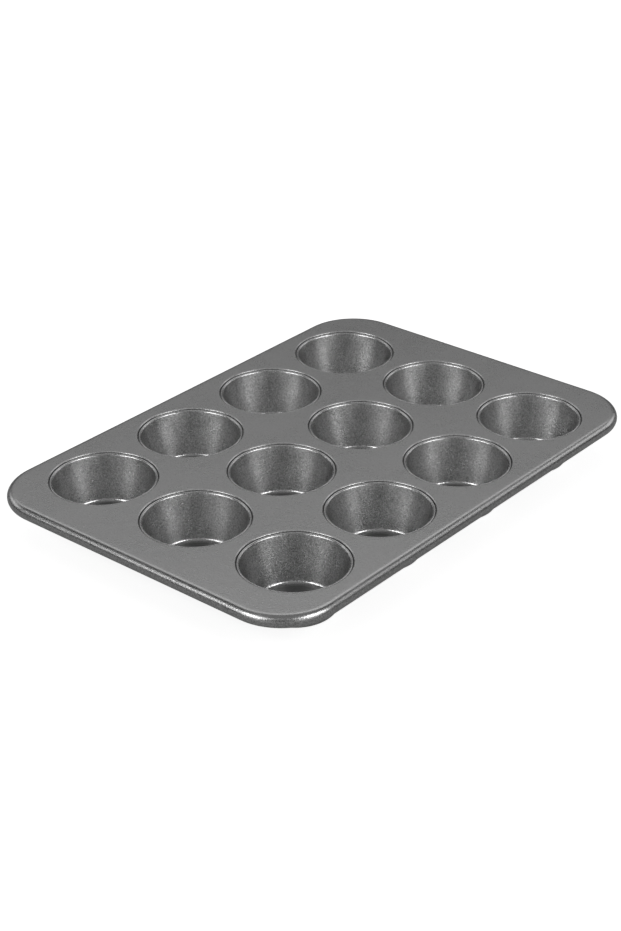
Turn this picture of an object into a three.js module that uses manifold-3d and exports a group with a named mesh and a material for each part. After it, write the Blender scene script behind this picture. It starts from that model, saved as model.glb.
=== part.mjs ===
// A twelve-cup muffin tin, put together the way the real one is: a pressed frame plate whose outer edge is
// rolled around a steel wire, and twelve drawn cups, each crimped into a hole of the plate.
// Millimetres, +Z up. The origin is on the table under the middle of the tin, and +X runs along its long side.

import * as THREE from "three";
import { ParametricGeometry } from "three/addons/geometries/ParametricGeometry.js";
import { mergeVertices } from "three/addons/utils/BufferGeometryUtils.js";
import Module from "manifold-3d";

// ---- Driving dimensions ------------------------------------------------------------------------------------

const CUPS_ALONG = 4; // along X
const CUPS_ACROSS = 3; // along Y
const CUP_PITCH = 88.9; // centre to centre, both ways

const PLATE_LENGTH = 400.8;
const PLATE_WIDTH = 285.5;
const CORNER_RADIUS = 43;
const TIN_HEIGHT = 34.8; // table to the plate's top face
const SHEET = 0.6; // thickness of the sheet that the plate and the cups are pressed from
const GAP = 0.3; // clearance between pieces that touch on the real tin

const BEAD_RADIUS = 5; // outside of the rolled edge
const BEAD_TURN = 305; // degrees that the rolled edge turns through, so a slit stays open underneath
const BEAD_FLAT = 4; // flat strip between the rolled edge and the sheet it joins
const WIRE_RADIUS = 3.5;

const HOLE_RADIUS = 38.7; // inside face of the flange round each hole
const HOLE_BEND_RADIUS = 0.8; // the flange's bend, on the top face of the sheet
const HOLE_FLAT = 1.4; // flat strip between the flange's bend and the sheet it joins
const FLANGE_DEPTH = 5; // from the plate's top face to the flange's lower end

const LIP_DEPTH = 0.7; // from the plate's top face down to the top of the cup's lip
const SHOULDER_RADIUS = 1.5; // the lip's wide bend, from the cup's wall up to its top
const LIP_EDGE_RADIUS = 0.7; // the lip's tight bend, from its top down beside the flange
const WALL_FOOT_RADIUS = 27.75; // where the inside of the wall would meet the floor with no fillet
const CUP_FILLET = 2.4; // inside radius between wall and floor
const HOOK_HEIGHT = 2.6; // how far the lip's hook turns up outside the flange

const CIRCLE_STEPS = 24; // round every cup and hole
const CORNER_STEPS = 8; // round each corner of the plate
const WIRE_STEPS = 8; // round the wire's section
const OVERLAP = 0.7; // how far the flat sheet reaches over the flat strips before they are joined

// ---- Sections: lists of points, x outwards or inwards and y up, with y = 0 on the plate's top face ---------

/** Points along an arc, both ends included. Angles in degrees, 0 towards +x and 90 towards +y. */
function arc(centreX, centreY, radius, from, to, steps) {
  return Array.from({ length: steps + 1 }, (_, i) => {
    const angle = THREE.MathUtils.degToRad(from + ((to - from) * i) / steps);
    return new THREE.Vector2(centreX + radius * Math.cos(angle), centreY + radius * Math.sin(angle));
  });
}

const point = (x, y) => new THREE.Vector2(x, y);

/** The flange round a hole: a strip of the flat sheet, the bend, and the short wall that goes down. */
function flangeSection() {
  const bendCentre = HOLE_RADIUS + HOLE_BEND_RADIUS;
  const flatEnd = bendCentre + HOLE_FLAT;
  return [
    point(flatEnd, -SHEET),
    point(flatEnd, 0),
    ...arc(bendCentre, -HOLE_BEND_RADIUS, HOLE_BEND_RADIUS, 90, 180, 2),
    point(HOLE_RADIUS, -FLANGE_DEPTH),
    point(HOLE_RADIUS + SHEET, -FLANGE_DEPTH),
    ...arc(bendCentre, -HOLE_BEND_RADIUS, HOLE_BEND_RADIUS - SHEET, 180, 90, 1),
  ];
}

/** The rolled edge: x is the distance in from the plate's outermost edge. */
function beadSection() {
  const turnEnd = 90 + BEAD_TURN;
  const flatEnd = BEAD_RADIUS + BEAD_FLAT;
  return [
    point(flatEnd, 0),
    ...arc(BEAD_RADIUS, -BEAD_RADIUS, BEAD_RADIUS, 90, turnEnd, 10),
    ...arc(BEAD_RADIUS, -BEAD_RADIUS, BEAD_RADIUS - SHEET, turnEnd, 90, 8),
    point(flatEnd, -SHEET),
  ];
}

/** The wire inside the rolled edge: a round section about the middle of the bead. */
function wireSection() {
  return arc(BEAD_RADIUS, -BEAD_RADIUS, WIRE_RADIUS, 0, 360, WIRE_STEPS).slice(0, WIRE_STEPS);
}

/**
 * One cup, from the middle of its underside outwards and back to the middle of its floor. The sheet goes up
 * the wall, folds over at the lip, comes down inside the hole's flange and hooks out and up around its end.
 */
function cupSection() {
  const floor = SHEET - TIN_HEIGHT;
  const legOuter = HOLE_RADIUS - GAP;
  const legInner = legOuter - SHEET;
  const lipX = legOuter - LIP_EDGE_RADIUS;
  const lipEdgeY = -LIP_DEPTH - LIP_EDGE_RADIUS;
  const shoulderY = -LIP_DEPTH - SHOULDER_RADIUS;
  const toShoulder = point(lipX - WALL_FOOT_RADIUS, shoulderY - floor);
  const lean = Math.atan2(toShoulder.x, toShoulder.y) - Math.asin(SHOULDER_RADIUS / toShoulder.length());
  const leanDegrees = THREE.MathUtils.radToDeg(lean); // of the wall from upright, so that it meets the shoulder
  const filletX = WALL_FOOT_RADIUS - CUP_FILLET * Math.tan((Math.PI / 2 - lean) / 2);
  const filletY = floor + CUP_FILLET;
  const hookInner = HOLE_RADIUS + SHEET + GAP;
  const hookOuter = hookInner + SHEET;
  const gutter = -FLANGE_DEPTH - GAP;
  const hookBottom = gutter - SHEET;
  const hookTop = gutter + HOOK_HEIGHT;
  const chamfer = SHEET / 2;
  return [
    point(0, -TIN_HEIGHT),
    ...arc(filletX, filletY, CUP_FILLET + SHEET, -90, -leanDegrees, 2),
    ...arc(lipX, shoulderY, SHOULDER_RADIUS - SHEET, 180 - leanDegrees, 90, 2).slice(0, -1),
    point(legInner, -LIP_DEPTH - SHEET),
    point(legInner, hookBottom + chamfer),
    point(legInner + chamfer, hookBottom),
    point(hookOuter - chamfer, hookBottom),
    point(hookOuter, hookBottom + chamfer),
    point(hookOuter, hookTop),
    point(hookInner, hookTop),
    point(hookInner, gutter),
    point(legOuter, gutter),
    ...arc(lipX, lipEdgeY, LIP_EDGE_RADIUS, 0, 90, 2),
    ...arc(lipX, shoulderY, SHOULDER_RADIUS, 90, 180 - leanDegrees, 2).slice(1),
    ...arc(filletX, filletY, CUP_FILLET, -leanDegrees, -90, 2),
    point(0, floor),
  ];
}

// ---- Solids from sections ----------------------------------------------------------------------------------

/** Turns a section about the Z axis: one that ends on the axis at both ends, or a ring that closes on itself. */
function revolve(section) {
  const profile = section[0].x > 0 ? [...section, section[0]] : section;
  return new THREE.LatheGeometry(profile, CIRCLE_STEPS).rotateX(Math.PI / 2);
}

/** Stations round the plate's outline: the centre of the corner each belongs to, and the way outwards. */
function outlineStations() {
  const reachX = PLATE_LENGTH / 2 - CORNER_RADIUS;
  const reachY = PLATE_WIDTH / 2 - CORNER_RADIUS;
  const corners = [[1, 1], [-1, 1], [-1, -1], [1, -1]];
  return corners.flatMap(([signX, signY], quarter) => {
    const centre = point(signX * reachX, signY * reachY);
    return arc(0, 0, 1, quarter * 90, quarter * 90 + 90, CORNER_STEPS).map((outwards) => ({ centre, outwards }));
  });
}

/** The outline's point at a station, a given distance in from the plate's outermost edge. */
function outlinePoint({ centre, outwards }, inset) {
  return centre.clone().addScaledVector(outwards, CORNER_RADIUS - inset);
}

/** Carries a closed section round the whole outline, so that the solid closes on itself both ways. */
function sweepRoundOutline(section) {
  const stations = outlineStations();
  const place = (u, v, target) => {
    const { x: inset, y: height } = section[Math.round(u * section.length) % section.length];
    const { x, y } = outlinePoint(stations[Math.round(v * stations.length) % stations.length], inset);
    target.set(x, y, height);
  };
  return weld(new ParametricGeometry(place, section.length, stations.length));
}

/** Joins vertices that lie on each other, so that seams close. */
function weld(geometry) {
  geometry.deleteAttribute("normal");
  geometry.deleteAttribute("uv");
  return mergeVertices(geometry);
}

// ---- The frame plate, joined from its flat sheet, its rolled edge and the flanges of its holes ---------------

const manifold = await Module();
manifold.setup();

function toManifold(geometry) {
  const welded = weld(geometry);
  const mesh = new manifold.Mesh({
    numProp: 3,
    vertProperties: new Float32Array(welded.attributes.position.array),
    triVerts: new Uint32Array(welded.index.array),
  });
  return new manifold.Manifold(mesh);
}

function fromManifold(solid) {
  const { vertProperties, triVerts } = solid.getMesh();
  const geometry = new THREE.BufferGeometry();
  geometry.setAttribute("position", new THREE.BufferAttribute(vertProperties, 3));
  geometry.setIndex(new THREE.BufferAttribute(triVerts, 1));
  geometry.computeVertexNormals();
  return geometry;
}

/** Where the middle of every cup is, row by row from the corner at -X, -Y. */
function cupCentres() {
  return Array.from({ length: CUPS_ALONG * CUPS_ACROSS }, (_, i) => {
    const column = i % CUPS_ALONG;
    const row = Math.floor(i / CUPS_ALONG);
    return point((column - (CUPS_ALONG - 1) / 2) * CUP_PITCH, (row - (CUPS_ACROSS - 1) / 2) * CUP_PITCH);
  });
}

function flatSheet() {
  const inset = BEAD_RADIUS + BEAD_FLAT - OVERLAP;
  const outline = outlineStations().map((station) => outlinePoint(station, inset));
  const sheet = new THREE.Shape(outline);
  const holeRadius = HOLE_RADIUS + HOLE_BEND_RADIUS + HOLE_FLAT - OVERLAP;
  sheet.holes = cupCentres().map(({ x, y }) =>
    new THREE.Path(arc(x, y, holeRadius, 0, 360, CIRCLE_STEPS).slice(0, CIRCLE_STEPS)));
  return new THREE.ExtrudeGeometry(sheet, { depth: SHEET, bevelEnabled: false }).translate(0, 0, -SHEET);
}

function framePlateGeometry() {
  let plate = toManifold(flatSheet()).add(toManifold(sweepRoundOutline(beadSection())));
  for (const { x, y } of cupCentres()) {
    plate = plate.add(toManifold(revolve(flangeSection()).translate(x, y, 0)));
  }
  return fromManifold(plate);
}

// ---- Pieces --------------------------------------------------------------------------------------------------

const coating = (color) => new THREE.MeshStandardMaterial({ color, metalness: 0.6, roughness: 0.45 });
const bareSteel = () => new THREE.MeshStandardMaterial({ color: 0xb0b0ae, metalness: 1, roughness: 0.35 });

function piece(name, geometry, material) {
  const mesh = new THREE.Mesh(geometry, material);
  mesh.name = name;
  return mesh;
}

const tin = new THREE.Group();
tin.position.z = TIN_HEIGHT;
tin.add(piece("frame_plate", framePlateGeometry(), coating(0x7f7f7f)));
tin.add(piece("rim_wire", sweepRoundOutline(wireSection()), bareSteel()));

cupCentres().forEach(({ x, y }, i) => {
  const cup = piece(`cup_${String(i + 1).padStart(2, "0")}`, revolve(cupSection()), coating(0x757575));
  cup.position.set(x, y, 0);
  tin.add(cup);
});

export default tin;
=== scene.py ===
import math
import random

import bmesh
import bpy
from mathutils import Matrix, Vector, geometry, noise


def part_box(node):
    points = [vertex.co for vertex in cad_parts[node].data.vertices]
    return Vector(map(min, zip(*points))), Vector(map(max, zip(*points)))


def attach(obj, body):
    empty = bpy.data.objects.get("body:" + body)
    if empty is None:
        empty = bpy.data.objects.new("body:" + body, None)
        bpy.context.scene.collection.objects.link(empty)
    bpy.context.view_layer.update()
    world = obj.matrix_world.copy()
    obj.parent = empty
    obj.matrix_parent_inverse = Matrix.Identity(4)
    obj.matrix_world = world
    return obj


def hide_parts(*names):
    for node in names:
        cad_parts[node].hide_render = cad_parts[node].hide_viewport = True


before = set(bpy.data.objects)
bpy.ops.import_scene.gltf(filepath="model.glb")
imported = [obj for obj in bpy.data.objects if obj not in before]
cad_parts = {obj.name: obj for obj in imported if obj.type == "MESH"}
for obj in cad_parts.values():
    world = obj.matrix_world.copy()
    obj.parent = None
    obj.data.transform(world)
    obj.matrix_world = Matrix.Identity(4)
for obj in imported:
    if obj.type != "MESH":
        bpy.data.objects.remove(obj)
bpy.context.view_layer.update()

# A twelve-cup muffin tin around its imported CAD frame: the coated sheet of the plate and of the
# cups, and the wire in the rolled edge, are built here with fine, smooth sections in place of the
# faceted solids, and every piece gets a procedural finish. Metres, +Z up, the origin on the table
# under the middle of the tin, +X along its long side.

MM = 0.001

# ---- Driving dimensions, as in the CAD source --------------------------------------------------

CUPS_ALONG = 4
CUPS_ACROSS = 3
CUP_PITCH = 88.9 * MM

PLATE_LOW, PLATE_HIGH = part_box("frame_plate")
TIN_TOP = PLATE_HIGH.z
PLATE_LENGTH = PLATE_HIGH.x - PLATE_LOW.x
PLATE_WIDTH = PLATE_HIGH.y - PLATE_LOW.y
CORNER_RADIUS = 43 * MM
SHEET = 0.6 * MM
GAP = 0.3 * MM

BEAD_RADIUS = 5 * MM
BEAD_TURN = 305  # degrees
WIRE_RADIUS = 3.5 * MM

HOLE_RADIUS = 38.7 * MM
HOLE_BEND_RADIUS = 0.8 * MM
FLANGE_DEPTH = 5 * MM

LIP_DEPTH = 0.7 * MM
SHOULDER_RADIUS = 1.5 * MM
LIP_EDGE_RADIUS = 0.7 * MM
WALL_FOOT_RADIUS = 27.75 * MM
CUP_FILLET = 2.4 * MM
HOOK_HEIGHT = 2.6 * MM

# ---- How finely the sheet is divided, and how far it is from perfect ---------------------------

CIRCLE_STEPS = 144
CORNER_STEPS = 40
STRAIGHT_STEPS = 24
WIRE_STEPS = 24
PLATE_GRID = 6 * MM
BEAD_FLAT = 1.5 * MM  # strips beside the bead's bend and the holes', so that the flat stays flat
HOLE_FLAT = 0.6 * MM
GRID_CLEARANCE = 0.4 * PLATE_GRID  # between the grid's points and the edges of the flat
SAME_POINT = 1e-7  # metres; points nearer than this are one
SEED = 7

PLATE_WAVE = 0.10 * MM  # how far the plate rises and falls
PLATE_WAVE_LENGTH = 90 * MM
CUP_OVAL = 0.06 * MM  # how far a cup's walls are out of round
OVAL_LOBES = (2, 3, 5)
OVAL_SHARES = (0.4, 1.0)  # of its full size, the least and the most that a set of lobes gets
OVAL_REACH = HOLE_RADIUS - 3 * MM  # the lip and the hook are round, to fit the hole
WIRE_JOINT_WIDTH = 0.4 * MM
# The groove of the wire's joint: places across it in joint widths, and the share of the wire's
# radius there.
WIRE_JOINT_GROOVE = ((1, 1.0), (0.5, 0.93), (0, 0.86), (-0.5, 0.93), (-1, 1.0))

WEAR_AND_HIGHLIGHT_RADIUS = 0.8 * MM  # an outside bend this tight or tighter takes the most scuffing and the most painted highlight
HOLLOW_HIGHLIGHT_RADIUS = 2 * MM  # a hollow bend this tight or tighter is the smoothest and takes the most painted highlight
SEAM_START = 0.2  # how far round the flange's bend, or into the lip's, the painted shade of the seam begins
SEAM_SHARE = 0.7  # the part of the lip's edge radius that the painted shade of the seam reaches in over
FLOOR_PAINTED_SHADE = 0.6  # how much painted shade darkens a cup's floor, where the seam's is 1
FLOOR_REACH = 25 * MM  # the floor's radius, without the start of its fillet


# ---- Sections: points (x, y), y up from the plate's top face -----------------------------------

def arc(centre_x, centre_y, radius, start, end, steps):
    """Points along an arc, both ends included. Angles in degrees."""
    points = []
    for i in range(steps + 1):
        angle = math.radians(start + (end - start) * i / steps)
        points.append((centre_x + radius * math.cos(angle), centre_y + radius * math.sin(angle)))
    return points


def line(start, end, steps):
    """Points between two ends, without them."""
    return [
        (start[0] + (end[0] - start[0]) * i / steps, start[1] + (end[1] - start[1]) * i / steps)
        for i in range(1, steps)
    ]


def flange_section():
    """Round a hole: from the plate's top face down the flange, and back up to its underside."""
    bend = HOLE_RADIUS + HOLE_BEND_RADIUS
    round_end = SHEET / 2
    return [
        (bend + HOLE_FLAT, 0),
        *arc(bend, -HOLE_BEND_RADIUS, HOLE_BEND_RADIUS, 90, 180, steps=8),
        *line((HOLE_RADIUS, -HOLE_BEND_RADIUS), (HOLE_RADIUS, -FLANGE_DEPTH), steps=3),
        *arc(HOLE_RADIUS + round_end, -FLANGE_DEPTH + round_end, round_end, 180, 360, steps=6),
        *arc(bend, -HOLE_BEND_RADIUS, HOLE_BEND_RADIUS - SHEET, 180, 90, steps=4),
        (bend + HOLE_FLAT, -SHEET),
    ]


def bead_section():
    """The rolled edge, from the top face round to the underside, x in from the outermost edge."""
    end = 90 + BEAD_TURN
    middle = BEAD_RADIUS - SHEET / 2
    tip = math.radians(end)
    tip_centre = (BEAD_RADIUS + middle * math.cos(tip), -BEAD_RADIUS + middle * math.sin(tip))
    return [
        (BEAD_RADIUS + BEAD_FLAT, 0),
        *arc(BEAD_RADIUS, -BEAD_RADIUS, BEAD_RADIUS, 90, end, steps=60),
        *arc(*tip_centre, SHEET / 2, end, end + 180, steps=6)[1:-1],
        *arc(BEAD_RADIUS, -BEAD_RADIUS, BEAD_RADIUS - SHEET, end, 90, steps=48),
        (BEAD_RADIUS + BEAD_FLAT, -SHEET),
    ]


def cup_section():
    """One cup: its floor, up the inside, over the lip, round the hook and down the outside."""
    floor = SHEET - TIN_TOP
    leg_outer = HOLE_RADIUS - GAP
    leg_inner = leg_outer - SHEET
    lip_x = leg_outer - LIP_EDGE_RADIUS
    lip_edge_y = -LIP_DEPTH - LIP_EDGE_RADIUS
    shoulder_y = -LIP_DEPTH - SHOULDER_RADIUS
    out, up = lip_x - WALL_FOOT_RADIUS, shoulder_y - floor
    lean = math.atan2(out, up) - math.asin(SHOULDER_RADIUS / math.hypot(out, up))
    lean_degrees = math.degrees(lean)
    fillet_x = WALL_FOOT_RADIUS - CUP_FILLET * math.tan((math.pi / 2 - lean) / 2)
    fillet_y = floor + CUP_FILLET
    hook_inner = HOLE_RADIUS + SHEET + GAP
    gutter = -FLANGE_DEPTH - GAP
    gutter_x = (leg_outer + hook_inner) / 2
    gutter_radius = (hook_inner - leg_outer) / 2
    hook_top = gutter + HOOK_HEIGHT
    wall_inside = arc(fillet_x, fillet_y, CUP_FILLET, -90, -lean_degrees, steps=14)
    wall_outside = arc(fillet_x, fillet_y, CUP_FILLET + SHEET, -lean_degrees, -90, steps=14)
    shoulder = arc(lip_x, shoulder_y, SHOULDER_RADIUS, 180 - lean_degrees, 90, steps=10)
    under_radius = SHOULDER_RADIUS - SHEET
    under_shoulder = arc(lip_x, shoulder_y, under_radius, 90, 180 - lean_degrees, steps=8)
    return [
        (0, floor),
        *line((0, floor), wall_inside[0], steps=10),
        *wall_inside,
        *line(wall_inside[-1], shoulder[0], steps=14),
        *shoulder,
        *arc(lip_x, lip_edge_y, LIP_EDGE_RADIUS, 90, 0, steps=8)[1:],
        *arc(gutter_x, gutter, gutter_radius, 180, 360, steps=8),
        *arc(hook_inner + SHEET / 2, hook_top - SHEET / 2, SHEET / 2, 180, 0, steps=6),
        *arc(gutter_x, gutter, gutter_radius + SHEET, 360, 180, steps=10),
        *arc(lip_x, lip_edge_y, LIP_EDGE_RADIUS - SHEET, 0, 90, steps=2)[:-1],
        *under_shoulder,
        *line(under_shoulder[-1], wall_outside[0], steps=12),
        *wall_outside,
        *line(wall_outside[-1], (0, -TIN_TOP), steps=8),
        (0, -TIN_TOP),
    ]


def wire_section():
    """The wire inside the rolled edge, with x in from the plate's outermost edge."""
    return arc(BEAD_RADIUS, -BEAD_RADIUS, WIRE_RADIUS, 0, 360, WIRE_STEPS)[:-1]


def edge_wear(section, solid_side=1):
    """How scuffed the sheet is at each point of a section, with the painted highlight it takes.

    That is near 1 on tight outside bends, scuffed and with a painted highlight, and in the hollow
    bends, smoother and with a painted highlight, and 0 on flats. The solid is to the left of the
    section, or to its right if solid_side is -1.
    """
    rubbed_and_painted_light = [0.0]
    for before, here, after in zip(section, section[1:], section[2:]):
        arrive, leave = Vector(here) - Vector(before), Vector(after) - Vector(here)
        turn = solid_side * arrive.angle_signed(leave)
        curve = 2 * turn / (arrive.length + leave.length)
        rubbed_and_painted_light.append(min(1.0, max(-curve * WEAR_AND_HIGHLIGHT_RADIUS, curve * HOLLOW_HIGHLIGHT_RADIUS)))
    return rubbed_and_painted_light + [0.0]


def seam_soil(section, solid_side=1):
    """The same list, towards -1 where shade is painted into the seam between plate and cup,
    and onto a cup's floor.
    """
    painted_shade = []
    for (x, y), rubbed_and_painted_light in zip(section, edge_wear(section, solid_side)):
        # Painted shade in the seam, darker deeper round the flange's bend and the lip's edge.
        if x > HOLE_RADIUS - GAP / 2:
            depth = -y / HOLE_BEND_RADIUS if x < HOLE_RADIUS + HOLE_BEND_RADIUS else 0
        else:
            depth = 1 - (HOLE_RADIUS - GAP - x) / (LIP_EDGE_RADIUS * SEAM_SHARE)
            depth = max(depth, 0) if y < -LIP_DEPTH else 0
        share = min(1.0, max(0.0, (depth - SEAM_START) / (1 - SEAM_START)))
        # Painted shade over the cup's floor.
        if x < FLOOR_REACH and y == SHEET - TIN_TOP:
            share = FLOOR_PAINTED_SHADE
        painted_shade.append(rubbed_and_painted_light * (1 - share) - share)
    return painted_shade


# ---- Small departures from the perfect shape ---------------------------------------------------

def wave(x, y):
    """How far the pressed sheet is above or below true at a point of the plate."""
    place = Vector((x, y, SEED * PLATE_WAVE_LENGTH)) / PLATE_WAVE_LENGTH
    return PLATE_WAVE * noise.noise(place)


def rise(points):
    """The points, moved with the plate's wave."""
    return [(x, y, z + wave(x, y)) for x, y, z in points]


class Oval:
    """How far a cup is out of round, by the angle round it and the radius."""

    def __init__(self, chance):
        self.lobes = []
        for count in OVAL_LOBES:
            start = chance.uniform(0, 2 * math.pi)
            self.lobes.append((count, start, chance.uniform(*OVAL_SHARES) / (count - 1)))

    def grow(self, angle, radius):
        share = min(1, radius / WALL_FOOT_RADIUS) if radius < OVAL_REACH else 0
        lobes = sum(size * math.cos(count * angle + start) for count, start, size in self.lobes)
        return CUP_OVAL * share * lobes


# ---- Meshes from sections ----------------------------------------------------------------------

class Sheetwork:
    """Collects vertices, the scuffing and painted light at each, and faces, ring by ring."""

    def __init__(self):
        self.verts = []
        self.wear = []
        self.faces = []

    def ring(self, points, wear=0.0):
        first = len(self.verts)
        self.verts.extend(points)
        self.wear.extend([wear] * len(points))
        return list(range(first, len(self.verts)))

    def bridge(self, ring, following):
        """Faces between two rings with equal counts, or between a ring and a single point."""
        count = max(len(ring), len(following))
        for i in range(count):
            j = (i + 1) % count
            corners = [ring[i % len(ring)], ring[j % len(ring)]]
            corners += [following[j % len(following)], following[i % len(following)]]
            self.faces.append(tuple(dict.fromkeys(corners)))

    def mesh(self, name):
        mesh = bpy.data.meshes.new(name)
        mesh.from_pydata(self.verts, [], self.faces)
        mesh.update()
        work = bmesh.new()
        work.from_mesh(mesh)
        bmesh.ops.recalc_face_normals(work, faces=work.faces)
        work.to_mesh(mesh)
        work.free()
        mesh.shade_smooth()
        # Above 0: scuffing and painted highlight. Below 0: painted shade.
        mesh.attributes.new("wear", "FLOAT", "POINT").data.foreach_set("value", self.wear)
        return mesh


def circle(centre, radius, height, oval=None):
    """A ring of points round a cup's or a hole's centre, height above the plate's top face."""
    points = []
    for i in range(CIRCLE_STEPS):
        angle = 2 * math.pi * i / CIRCLE_STEPS
        reach = radius + (oval.grow(angle, radius) if oval else 0)
        x, y = centre.x + reach * math.cos(angle), centre.y + reach * math.sin(angle)
        points.append((x, y, TIN_TOP + height))
    return rise(points)


def outline(inset, height):
    """The plate's outline, inset from its edge, as corner arcs joined by divided straights."""
    reach_x = PLATE_LENGTH / 2 - CORNER_RADIUS
    reach_y = PLATE_WIDTH / 2 - CORNER_RADIUS
    radius = CORNER_RADIUS - inset
    points = []
    for quarter, (sign_x, sign_y) in enumerate(((1, 1), (-1, 1), (-1, -1), (1, -1))):
        start = quarter * 90
        corner = arc(sign_x * reach_x, sign_y * reach_y, radius, start, start + 90, CORNER_STEPS)
        if points:
            points += line(points[-1], corner[0], STRAIGHT_STEPS)
        points += corner
    points += line(points[-1], points[0], STRAIGHT_STEPS)
    return rise([(x, y, TIN_TOP + height) for x, y in points])


def cup_centres():
    """Row by row from the corner at -X, -Y, as the cups are numbered."""
    first_x = -(CUPS_ALONG - 1) / 2
    first_y = -(CUPS_ACROSS - 1) / 2
    return [
        Vector(((first_x + column) * CUP_PITCH, (first_y + row) * CUP_PITCH))
        for row in range(CUPS_ACROSS)
        for column in range(CUPS_ALONG)
    ]


def flat_triangles(rings):
    """The flat sheet between its outer ring and the holes' rings: inner points, and triangles."""
    reach_x, reach_y = PLATE_LENGTH / 2, PLATE_WIDTH / 2
    points, edges = [], []
    for ring in rings:
        first = len(points)
        points += [Vector(p[:2]) for p in ring]
        edges += [(first + i, first + (i + 1) % len(ring)) for i in range(len(ring))]
    hole = HOLE_RADIUS + HOLE_BEND_RADIUS + HOLE_FLAT
    edge = BEAD_RADIUS + BEAD_FLAT

    def inside(x, y, margin):
        dx = max(abs(x) - (reach_x - CORNER_RADIUS), 0)
        dy = max(abs(y) - (reach_y - CORNER_RADIUS), 0)
        in_plate = math.hypot(dx, dy) < CORNER_RADIUS - edge - margin
        return in_plate and all((Vector((x, y)) - c).length > hole + margin for c in cup_centres())

    fixed = len(points)
    for i in range(int(2 * reach_x / PLATE_GRID) + 1):
        for j in range(int(2 * reach_y / PLATE_GRID) + 1):
            x, y = -reach_x + i * PLATE_GRID, -reach_y + j * PLATE_GRID
            if inside(x, y, GRID_CLEARANCE):
                points.append(Vector((x, y)))
    drawn = geometry.delaunay_2d_cdt(points, edges, [], 0, SAME_POINT, True)
    coords, _, triangles, origins, _, _ = drawn
    kept = []
    for triangle in triangles:
        middle = sum((coords[k] for k in triangle), Vector((0, 0))) / 3
        if inside(middle.x, middle.y, 0):
            kept.append([origins[k][0] for k in triangle])
    return points[fixed:], kept


def plate_mesh():
    """The rolled edge and the twelve flanges, joined by the flat sheet's two faces."""
    work = Sheetwork()
    tops, bottoms = [], []

    def strip(section, wear, place):
        rings = [work.ring(place(x, y), rubbed_and_painted_light) for (x, y), rubbed_and_painted_light in zip(section, wear)]
        tops.append(rings[0])
        bottoms.append(rings[-1])
        for ring, following in zip(rings, rings[1:]):
            work.bridge(ring, following)

    bead = bead_section()
    strip(bead, edge_wear(bead), outline)
    flange = flange_section()
    flange_wear_and_painted_shade = seam_soil(flange)
    for centre in cup_centres():
        strip(flange, flange_wear_and_painted_shade, lambda x, y: circle(centre, x, y))
    inner, triangles = flat_triangles([[work.verts[k] for k in ring] for ring in tops])
    for rings, height in ((tops, 0), (bottoms, -SHEET)):
        inside = work.ring(rise([(p.x, p.y, TIN_TOP + height) for p in inner]))
        numbers = [k for ring in rings for k in ring] + inside
        work.faces.extend(tuple(numbers[k] for k in triangle) for triangle in triangles)
    return work.mesh("frame_plate_sheet")


def cup_mesh(name, centre, oval):
    """A cup's section carried round its centre."""
    work = Sheetwork()
    section = cup_section()
    rings = []
    for (x, y), rubbed_and_painted_light in zip(section, seam_soil(section, -1)):
        if x == 0:
            rings.append(work.ring(rise([(centre.x, centre.y, TIN_TOP + y)])))
        else:
            rings.append(work.ring(circle(centre, x, y, oval), rubbed_and_painted_light))
    for ring, following in zip(rings, rings[1:]):
        work.bridge(ring, following)
    return work.mesh(name)


def wire_mesh(name):
    """The wire's loop, with the groove of its butt joint in the middle of the +Y side."""
    work = Sheetwork()
    section = wire_section()
    rings = [outline(x, y) for x, y in section]
    stations = [list(points) for points in zip(*rings)]
    joint = min(range(len(stations)), key=lambda k: (abs(stations[k][0][0]), -stations[k][0][1]))
    loops = []
    for number, station in enumerate(stations):
        if number != joint:
            loops.append(station)
            continue
        middle = sum((Vector(p) for p in station), Vector()) / len(station)
        for offset, share in WIRE_JOINT_GROOVE:
            shift = Vector((offset * WIRE_JOINT_WIDTH, 0, 0))
            loops.append([tuple(middle + (Vector(p) - middle) * share + shift) for p in station])
    loops = [work.ring(points) for points in loops]
    for ring, following in zip(loops, loops[1:] + loops[:1]):
        work.bridge(ring, following)
    return work.mesh(name)


# ---- Materials ---------------------------------------------------------------------------------

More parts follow.
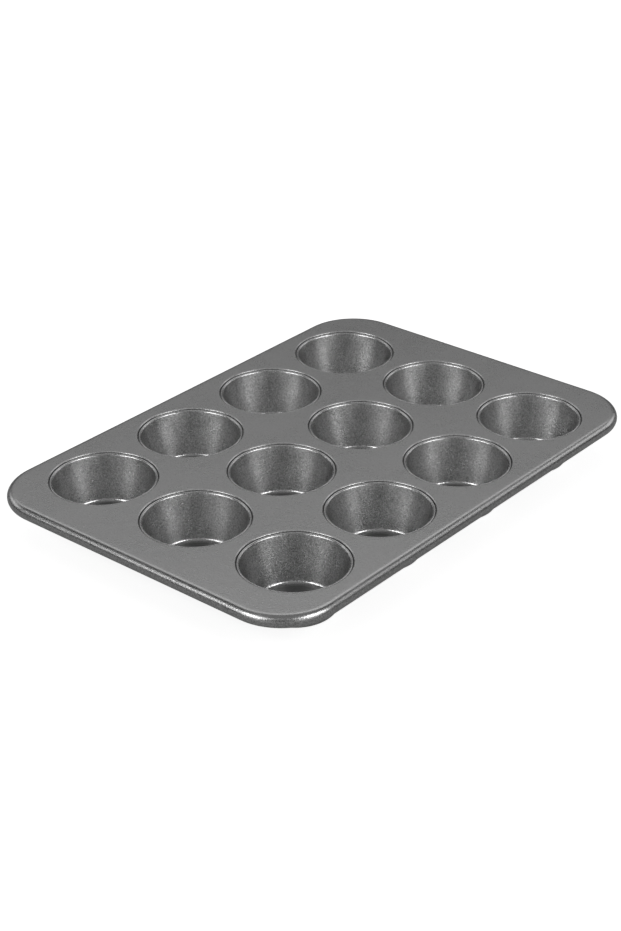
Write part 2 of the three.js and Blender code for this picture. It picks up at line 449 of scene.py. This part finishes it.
class Graph:
    """A node tree, with short ways to add and link its nodes."""

    def __init__(self, owner):
        owner.use_nodes = True
        self.nodes, self.links = owner.node_tree.nodes, owner.node_tree.links

    def add(self, kind, settings=None, **inputs):
        """A node. Inputs are values, or sockets to link from, by name with _ for spaces."""
        node = self.nodes.new(kind)
        for key, value in (settings or {}).items():
            setattr(node, key, value)
        for key, value in inputs.items():
            self.feed(node, key.replace("_", " "), value)
        return node

    def feed(self, node, key, value):
        socket = node.inputs[int(key)] if key.isdigit() else node.inputs[key]
        if isinstance(value, bpy.types.NodeSocket):
            self.links.new(value, socket)
        else:
            socket.default_value = value

    def noise(self, place, size, detail=2.0, roughness=0.5):
        """Noise about a feature's size in metres."""
        settings = {"Scale": 1 / size, "Detail": detail, "Roughness": roughness}
        return self.add("ShaderNodeTexNoise", Vector=place, **settings).outputs["Fac"]

    def spread(self, value, span, to_low, to_high, smooth=False):
        """A value's span spread over two other numbers, and held at them beyond it."""
        kind = {"interpolation_type": "SMOOTHSTEP"} if smooth else {}
        ends = {"From_Min": span[0], "From_Max": span[1], "To_Min": to_low, "To_Max": to_high}
        return self.add("ShaderNodeMapRange", kind, Value=value, **ends).outputs["Result"]

    def shader(self, factor, first, second):
        """The first shader where the factor is 0, and the second where it is 1."""
        node = self.add("ShaderNodeMixShader", Fac=factor)
        self.feed(node, "1", first)
        self.feed(node, "2", second)
        return node.outputs[0]

    def math(self, operation, first, second=0.0, third=0.0):
        node = self.nodes.new("ShaderNodeMath")
        node.operation = operation
        for number, value in enumerate((first, second, third)):
            self.feed(node, str(number), value)
        return node.outputs["Value"]

    def grey(self, value):
        """A colour with the same value in all three channels."""
        node = self.add("ShaderNodeCombineColor", Red=value, Green=value, Blue=value)
        return node.outputs["Color"]


NOISE_SPAN = (0.3, 0.7)  # nearly all of a noise texture's values
WHOLE = (0, 1)  # all of a share's values

COATING_GREY = 0.47
COATING_ROUGHNESS = 0.30
GRAIN_SIZE = 0.95 * MM
GRAIN_BUMP = {"Strength": 0.16, "Distance": 0.5 * MM}
GRAIN_SPAN = (0.25, 0.75)
FLAKE_SIZE = 0.8 * MM
FLAKE_SHARE = 0.8  # the flakes' part in the speckle, where the grain's is 1
SPECKLE = 0.26  # how much lighter or darker the speckle makes a wall
FLAT_SPECKLE = 0.22  # the share of it that is left on level faces
TILT_SPAN = (0.5, 0.98)  # how upright the normal is, from walls to level faces
PEEL_SIZE = 7 * MM
PEEL_BUMP = {"Strength": 0.3, "Distance": 0.1 * MM}
SMUDGE_SIZE = 38 * MM
CLOUD_SIZE = 110 * MM
RUB_SIZE = 3 * MM  # scuffed edges, and their painted highlight, come in patches of about this size
RUB_SPAN = (0.42, 0.62)
RUB_LEAST = 0.6

# What each does to the coating's tone, as a factor, and to its roughness, as a step.
CLOUD_TONE = 0.025
SMUDGE_TONE, SMUDGE_ROUGHNESS = 0.015, 0.03
GRAIN_ROUGHNESS = 0.04
# Scuffed edges: a lighter tone, partly a painted highlight on the lips' shoulders and the floors'
# fillets, and a smoother coating.
RUBBED_AND_HIGHLIGHT_TONE, RUBBED_ROUGHNESS = 1.25, -0.07
# Painted shade in the seams and on the cups' floors: a darker tone, and a rougher coating.
PAINTED_SHADE_TONE, PAINTED_SHADE_ROUGHNESS = 0.2, 0.25

STEEL_CLEAN = (0.46, 0.455, 0.44, 1)
STEEL_STAINED = (0.27, 0.235, 0.20, 1)
STAIN_SIZE = 12 * MM
STAIN_SPAN = (0.5, 0.72)
STAIN_ROUGHNESS = 0.18
MARK_SIZE = 0.5 * MM
MARK_ROUGHNESS = (0.24, 0.36)
MARK_BUMP = {"Strength": 0.3, "Distance": 0.1 * MM}


def metal(name):
    """A new material, with its node graph, its shader and the place of each point on the object."""
    material = bpy.data.materials.new(name)
    graph = Graph(material)
    shader = graph.nodes["Principled BSDF"]
    shader.inputs["Metallic"].default_value = 1.0
    return material, graph, shader, graph.add("ShaderNodeTexCoord").outputs["Object"]


def coating(name):
    """Metallic non-stick coating.

    It has a speckle of grain and flakes, orange peel, smudges, edges scuffed lighter, partly a
    painted highlight, and painted shade in the seams and on the cups' floors.
    """
    material, graph, shader, place = metal(name)
    grain = graph.noise(place, GRAIN_SIZE, detail=1.0)
    flakes = graph.add("ShaderNodeTexVoronoi", Vector=place, Scale=1 / FLAKE_SIZE).outputs["Color"]
    flake = graph.add("ShaderNodeSeparateColor", Color=flakes).outputs["Red"]
    smudge = graph.noise(place, SMUDGE_SIZE, detail=5.0, roughness=0.62)
    cloud = graph.noise(place, CLOUD_SIZE)
    wear = graph.add("ShaderNodeAttribute", {"attribute_name": "wear"}).outputs["Fac"]
    patches = graph.noise(place, RUB_SIZE, detail=4.0, roughness=0.7)
    patches = graph.spread(patches, RUB_SPAN, RUB_LEAST, 1.0, smooth=True)
    # scuffed edges in patches, partly real scuffing and partly a painted highlight
    rubbed_and_painted_highlight = graph.math("MULTIPLY", graph.math("MAXIMUM", wear, 0.0), patches)
    # painted shade, where the attribute is below 0
    painted_shade = graph.math("MAXIMUM", graph.math("MULTIPLY", wear, -1.0), 0.0)

    normal = graph.add("ShaderNodeNewGeometry").outputs["True Normal"]
    upright = graph.add("ShaderNodeSeparateXYZ", Vector=normal).outputs["Z"]
    steep = graph.spread(graph.math("ABSOLUTE", upright), TILT_SPAN, 1.0, FLAT_SPECKLE, smooth=True)
    speckle = graph.math(
        "ADD",
        graph.spread(grain, NOISE_SPAN, -1.0, 1.0),
        graph.spread(flake, WHOLE, -FLAKE_SHARE, FLAKE_SHARE),
    )
    tone = graph.math("MULTIPLY_ADD", graph.math("MULTIPLY", speckle, steep), SPECKLE, 1.0)
    for cause, span, low, high in (
        (cloud, NOISE_SPAN, 1 - CLOUD_TONE, 1 + CLOUD_TONE),
        (smudge, NOISE_SPAN, 1 + SMUDGE_TONE, 1 - SMUDGE_TONE),
        # the lighter tone of scuffed edges is partly a painted highlight
        (rubbed_and_painted_highlight, WHOLE, 1.0, RUBBED_AND_HIGHLIGHT_TONE),
        # painted shade darkens the tone here
        (painted_shade, WHOLE, 1.0, PAINTED_SHADE_TONE),
    ):
        tone = graph.math("MULTIPLY", tone, graph.spread(cause, span, low, high))
    graph.feed(shader, "Base Color", graph.grey(graph.math("MULTIPLY", tone, COATING_GREY)))

    smooth, rough = COATING_ROUGHNESS - SMUDGE_ROUGHNESS, COATING_ROUGHNESS + SMUDGE_ROUGHNESS
    roughness = graph.spread(smudge, NOISE_SPAN, smooth, rough)
    for cause, span, low, high in (
        (grain, GRAIN_SPAN, GRAIN_ROUGHNESS, -GRAIN_ROUGHNESS),
        (rubbed_and_painted_highlight, WHOLE, 0.0, RUBBED_ROUGHNESS),
        (painted_shade, WHOLE, 0.0, PAINTED_SHADE_ROUGHNESS),
    ):
        roughness = graph.math("ADD", roughness, graph.spread(cause, span, low, high))
    graph.feed(shader, "Roughness", roughness)

    waves = graph.noise(place, PEEL_SIZE, detail=1.0)
    peel = graph.add("ShaderNodeBump", Height=waves, **PEEL_BUMP)
    grains = graph.add("ShaderNodeBump", Height=grain, Normal=peel.outputs["Normal"], **GRAIN_BUMP)
    graph.feed(shader, "Normal", grains.outputs["Normal"])
    return material


def drawn_steel(name):
    """Bare wire: fine marks left by drawing, dull patches, and a little brown in the dullest."""
    material, graph, shader, place = metal(name)
    marks = graph.noise(place, MARK_SIZE, detail=3.0, roughness=0.7)
    dull = graph.noise(place, STAIN_SIZE, detail=4.0, roughness=0.65)
    stain = graph.spread(dull, STAIN_SPAN, 0.0, 1.0, smooth=True)
    colours = {"Factor": stain, "A": STEEL_CLEAN, "B": STEEL_STAINED}
    tone = graph.add("ShaderNodeMix", {"data_type": "RGBA"}, **colours).outputs["Result"]
    graph.feed(shader, "Base Color", tone)
    roughness = graph.math(
        "ADD",
        graph.spread(marks, NOISE_SPAN, *MARK_ROUGHNESS),
        graph.spread(dull, NOISE_SPAN, 0.0, STAIN_ROUGHNESS),
    )
    graph.feed(shader, "Roughness", roughness)
    bump = graph.add("ShaderNodeBump", Height=marks, **MARK_BUMP)
    graph.feed(shader, "Normal", bump.outputs["Normal"])
    return material


# ---- Pieces ------------------------------------------------------------------------------------

def add_piece(name, mesh, material, node):
    """A piece that stands for a CAD node, which it hides, with the material given to it."""
    piece = bpy.data.objects.new(name, mesh)
    bpy.context.scene.collection.objects.link(piece)
    mesh.materials.append(material)
    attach(piece, "root")
    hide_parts(node)


plate_coating = coating("plate_coating")
cup_coating = coating("cup_coating")
wire_steel = drawn_steel("wire_steel")
chance = random.Random(SEED)
add_piece("frame_plate_sheet", plate_mesh(), plate_coating, "frame_plate")
add_piece("rim_wire_rod", wire_mesh("rim_wire_rod"), wire_steel, "rim_wire")
for number, centre in enumerate(cup_centres(), 1):
    name = f"cup_{number:02d}"
    mesh = cup_mesh(name + "_sheet", centre, Oval(chance))
    add_piece(name + "_sheet", mesh, cup_coating, name)

# ---- Stage: pale floor, soft studio light and the camera ---------------------------------------

CAMERA_AZIMUTH = -49.22
CAMERA_ELEVATION = 28.54
CAMERA_DISTANCE = 1.4014
CAMERA_ROLL = -0.84
LENS = 76.2
SENSOR_WIDTH = 36  # millimetres, as the lens is
AIM = Vector((-0.0277, -0.0126, TIN_TOP))

# Soft panels round the tin: azimuth from and to, measured from the camera and positive to its
# right, then elevation from and to, in degrees, and radiance.
PANELS = {
    "left_softbox": (-82, -42, 34, 48, 6.2),
    "left_softbox_low": (-58, -38, 18, 34, 4.2),
    "left_softbox_outer": (-82, -58, 18, 34, 2.8),
    "left_spill": (-42, -27, 26, 48, 1.6),
    "right_softbox": (42, 82, 34, 48, 6.0),
    "right_softbox_low": (38, 58, 18, 34, 3.8),
    "right_softbox_outer": (58, 82, 18, 34, 2.4),
    "right_spill": (27, 42, 26, 48, 1.8),
    "front": (-24, 24, 34, 58, 0.4),
    "front_low": (-24, 24, 8, 34, 0.15),
    "right_side": (82, 104, 14, 56, 0.3),
    "back_left_low": (-142, -104, 14, 36, 1.4),
    "back_right_low": (104, 142, 14, 36, 1.6),
    "back_left_high": (-180, -142, 35, 60, 1.15),
    "back_right_high": (142, 180, 35, 60, 1.3),
    "back_left": (-180, -142, 14, 35, 0.3),
    "back_right": (142, 180, 14, 35, 0.26),
    "overhead": (-180, 180, 60, 90, 0.3),
    "low_left": (-60, -18, -6, 8, 0.95),
    "low_right": (18, 60, -6, 16, 0.8),
    "low_front": (-18, 18, -6, 8, 0.5),
}
LIGHT = 0.77  # of every panel
PANEL_SOFTNESS = 8  # degrees over which a panel's edge fades
UNFADED = (90, 180)  # edges at the zenith and where the azimuth wraps round

FLOOR_HALF = 6  # half the floor's width
FLOOR_DROP = 0.3 * MM  # keeps the floor off the faces that stand on it
FLOOR_SEEN = (0.45, 0.84)  # paint and glow to the eye
FLOOR_REFLECTED = (0.22, 0.11)  # the same in reflections and on what it lights


def direction(azimuth, elevation):
    """From the object towards a point at that azimuth, 0 at -Y and 90 at +X, and elevation."""
    a, e = math.radians(azimuth), math.radians(elevation)
    return Vector((math.sin(a) * math.cos(e), -math.cos(a) * math.cos(e), math.sin(e)))


def make_camera():
    data = bpy.data.cameras.new("camera")
    data.lens = LENS
    data.sensor_width = SENSOR_WIDTH
    camera = bpy.data.objects.new("camera", data)
    bpy.context.scene.collection.objects.link(camera)
    back = direction(CAMERA_AZIMUTH, CAMERA_ELEVATION)
    roll = Matrix.Rotation(math.radians(CAMERA_ROLL), 3, "Z")
    turn = (-back).to_track_quat("-Z", "Y").to_matrix() @ roll
    camera.matrix_world = Matrix.Translation(AIM + back * CAMERA_DISTANCE) @ turn.to_4x4()
    bpy.context.scene.camera = camera


def make_floor():
    """Pale and almost evenly lit to the eye, darker in reflections, and seen through from below."""
    mesh = bpy.data.meshes.new("floor")
    corners = ((-1, -1), (1, -1), (1, 1), (-1, 1))
    points = [(x * FLOOR_HALF, y * FLOOR_HALF, -FLOOR_DROP) for x, y in corners]
    mesh.from_pydata(points, [], [(0, 1, 2, 3)])
    floor = bpy.data.objects.new("floor", mesh)
    bpy.context.scene.collection.objects.link(floor)
    material = bpy.data.materials.new("floor")
    graph = Graph(material)
    graph.nodes.remove(graph.nodes["Principled BSDF"])

    def painted(paint, glow):
        both = graph.add("ShaderNodeAddShader")
        paint = graph.add("ShaderNodeBsdfDiffuse", Color=(paint, paint, paint, 1))
        graph.feed(both, "0", paint.outputs[0])
        graph.feed(both, "1", graph.add("ShaderNodeEmission", Strength=glow).outputs[0])
        return both.outputs[0]

    by_eye = graph.add("ShaderNodeLightPath").outputs["Is Camera Ray"]
    above = graph.shader(by_eye, painted(*FLOOR_REFLECTED), painted(*FLOOR_SEEN))
    below = graph.add("ShaderNodeBsdfTransparent").outputs[0]
    from_below = graph.add("ShaderNodeNewGeometry").outputs["Backfacing"]
    surface = graph.shader(from_below, above, below)
    graph.feed(graph.nodes["Material Output"], "Surface", surface)
    mesh.materials.append(material)


def make_world():
    """Soft panels of light in a dim room, with plain white for the eye."""
    world = bpy.data.worlds.new("studio")
    graph = Graph(world)
    background = graph.nodes["Background"]
    toward = graph.add("ShaderNodeTexCoord").outputs["Generated"]
    about_z = {"rotation_type": "Z_AXIS"}
    turn = -math.radians(CAMERA_AZIMUTH)
    turned = graph.add("ShaderNodeVectorRotate", about_z, Vector=toward, Angle=turn)
    x, y, z = graph.add("ShaderNodeSeparateXYZ", Vector=turned.outputs["Vector"]).outputs
    azimuth = graph.math("DEGREES", graph.math("ARCTAN2", x, graph.math("MULTIPLY", y, -1.0)))
    elevation = graph.math("DEGREES", graph.math("ARCSINE", z))
    total = 0.0
    for azimuth_from, azimuth_to, low, high, radiance in PANELS.values():
        light = radiance
        for value, start, end in ((azimuth, azimuth_from, azimuth_to), (elevation, low, high)):
            for edge, sign in ((start, 1), (end, -1)):
                if abs(edge) in UNFADED:
                    continue
                half = sign * PANEL_SOFTNESS / 2
                fade = graph.spread(value, (edge - half, edge + half), 0, 1, smooth=True)
                light = graph.math("MULTIPLY", fade, light)
        total = graph.math("ADD", light, total)
    background.inputs["Strength"].default_value = LIGHT
    graph.feed(background, "Color", graph.grey(total))
    plain = graph.add("ShaderNodeBackground", Color=(1, 1, 1, 1))
    by_eye = graph.add("ShaderNodeLightPath").outputs["Is Camera Ray"]
    surface = graph.shader(by_eye, background.outputs[0], plain.outputs[0])
    graph.feed(graph.nodes["World Output"], "Surface", surface)
    bpy.context.scene.world = world


make_camera()
make_floor()
make_world()
bpy.context.scene.view_settings.view_transform = "Standard"
